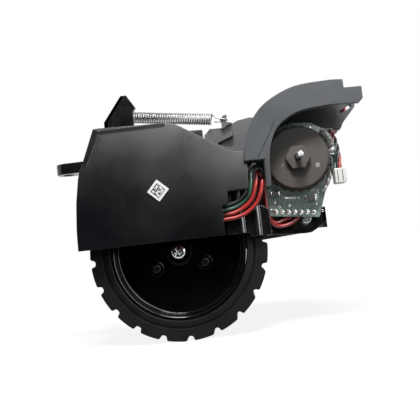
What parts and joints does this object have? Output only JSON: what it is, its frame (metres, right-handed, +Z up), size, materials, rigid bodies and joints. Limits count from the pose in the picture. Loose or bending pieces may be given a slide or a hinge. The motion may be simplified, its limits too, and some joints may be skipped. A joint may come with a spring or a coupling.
{
  "type": "robot vacuum wheel drive module",
  "caption": "Sprung wheel drive module of a robot vacuum: a rubber-tyred wheel on a swinging gearbox arm with its motor and encoder, held in a black plastic frame with a mounting ear",
  "frame": {"origin": "on the flat top of the mounting ear, between its hole and the side wall, where the ear is clamped to the chassis", "axes": "+X runs from the mounting ear to the motor end, +Y away from the wheel's outer face towards the middle of the robot, +Z up with the robot on the floor"},
  "size_m": [0.1237, 0.0587, 0.1038],
  "materials": {
    "black_plastic": "smooth semi-gloss black ABS",
    "gearbox_plastic": "matt dark grey moulded plastic",
    "gear_plastic": "natural acetal",
    "encoder_plastic": "matt brown-grey moulded plastic",
    "white_plastic": "natural nylon connector plastic",
    "tread_rubber": "matt black rubber",
    "steel": "bright steel",
    "zinc_steel": "zinc plated steel",
    "bronze": "sintered bronze",
    "ferrite": "dark ferrite",
    "copper": "enamelled copper winding",
    "board": "green solder mask on glass fibre board",
    "label_paper": "matt white paper",
    "red_insulation": "red lead insulation",
    "green_insulation": "green lead insulation",
    "black_insulation": "black lead insulation"
  },
  "bodies": {
    "frame_body": {"frame": "black_plastic", "fender_label": "label_paper", "pivot_pin": "zinc_steel", "pivot_clip": "steel", "lead_plug": "white_plastic", "harness_socket": "black_plastic", "tension_spring": "zinc_steel", "harness_black": "black_insulation", "harness_green": "green_insulation", "harness_red_1": "red_insulation", "harness_red_2": "red_insulation", "lead_black": "black_insulation", "lead_green": "green_insulation", "lead_red_1": "red_insulation", "lead_red_2": "red_insulation"},
    "arm_body": {"board_capacitor": "black_plastic", "board_diode": "black_plastic", "board_plug": "white_plastic", "cover_screw_1": "zinc_steel", "cover_screw_2": "zinc_steel", "cover_screw_3": "zinc_steel", "cover_screw_4": "zinc_steel", "cover_screw_5": "zinc_steel", "encoder_board": "board", "front_bush": "bronze", "gear_a_pin": "steel", "gear_b_pin": "steel", "gearbox_case": "gearbox_plastic", "gearbox_cover": "gearbox_plastic", "light_sensor": "black_plastic", "motor_can": "steel", "motor_end_cap": "white_plastic", "motor_magnet_left": "ferrite", "motor_magnet_right": "ferrite", "motor_screw_1": "zinc_steel", "motor_screw_2": "zinc_steel", "rear_bush": "bronze", "solder_pins": "zinc_steel"},
    "wheel_body": {"tyre": "tread_rubber", "wheel_rim": "black_plastic", "wheel_shaft": "steel", "output_gear": "gear_plastic", "hub_screw": "zinc_steel", "rim_screw_1": "zinc_steel", "rim_screw_2": "zinc_steel", "rim_screw_3": "zinc_steel"},
    "gear_b_body": {"compound_gear_b": "gear_plastic"},
    "gear_a_body": {"compound_gear_a": "gear_plastic"},
    "rotor_body": {"motor_shaft": "zinc_steel", "motor_pinion": "bronze", "armature": "copper", "encoder_wheel": "encoder_plastic"}
  },
  "joints": [
    {"name": "arm_swing", "type": "hinge", "parent": "frame_body", "child": "arm_body", "pos_m": [0.0911, 0.015, -0.0332], "axis": [0, 1, 0], "range_deg": [0, 13], "stiffness_Nm_per_rad": 0.3, "springref_deg": -5.73, "deforming": ["tension_spring", "harness_black", "harness_green", "harness_red_1", "harness_red_2", "lead_black", "lead_green", "lead_red_1", "lead_red_2"]},
    {"name": "wheel_spin", "type": "hinge", "parent": "arm_body", "child": "wheel_body", "pos_m": [0.039, 0, -0.0406], "axis": [0, 1, 0], "continuous": true},
    {"name": "gear_b_spin", "type": "hinge", "parent": "arm_body", "child": "gear_b_body", "pos_m": [0.05318, 0.02, -0.02026], "axis": [0, 1, 0], "continuous": true},
    {"name": "gear_a_spin", "type": "hinge", "parent": "arm_body", "child": "gear_a_body", "pos_m": [0.07375, 0.026, -0.00639], "axis": [0, 1, 0], "continuous": true},
    {"name": "motor_spin", "type": "hinge", "parent": "arm_body", "child": "rotor_body", "pos_m": [0.0893, 0.01, -0.0097], "axis": [0, 1, 0], "continuous": true}
  ],
  "couplings": [
    {"joint": "gear_b_spin", "follows": "wheel_spin", "ratio": -4.1667},
    {"joint": "gear_a_spin", "follows": "wheel_spin", "ratio": 17.361},
    {"joint": "motor_spin", "follows": "wheel_spin", "ratio": -66.288}
  ]
}
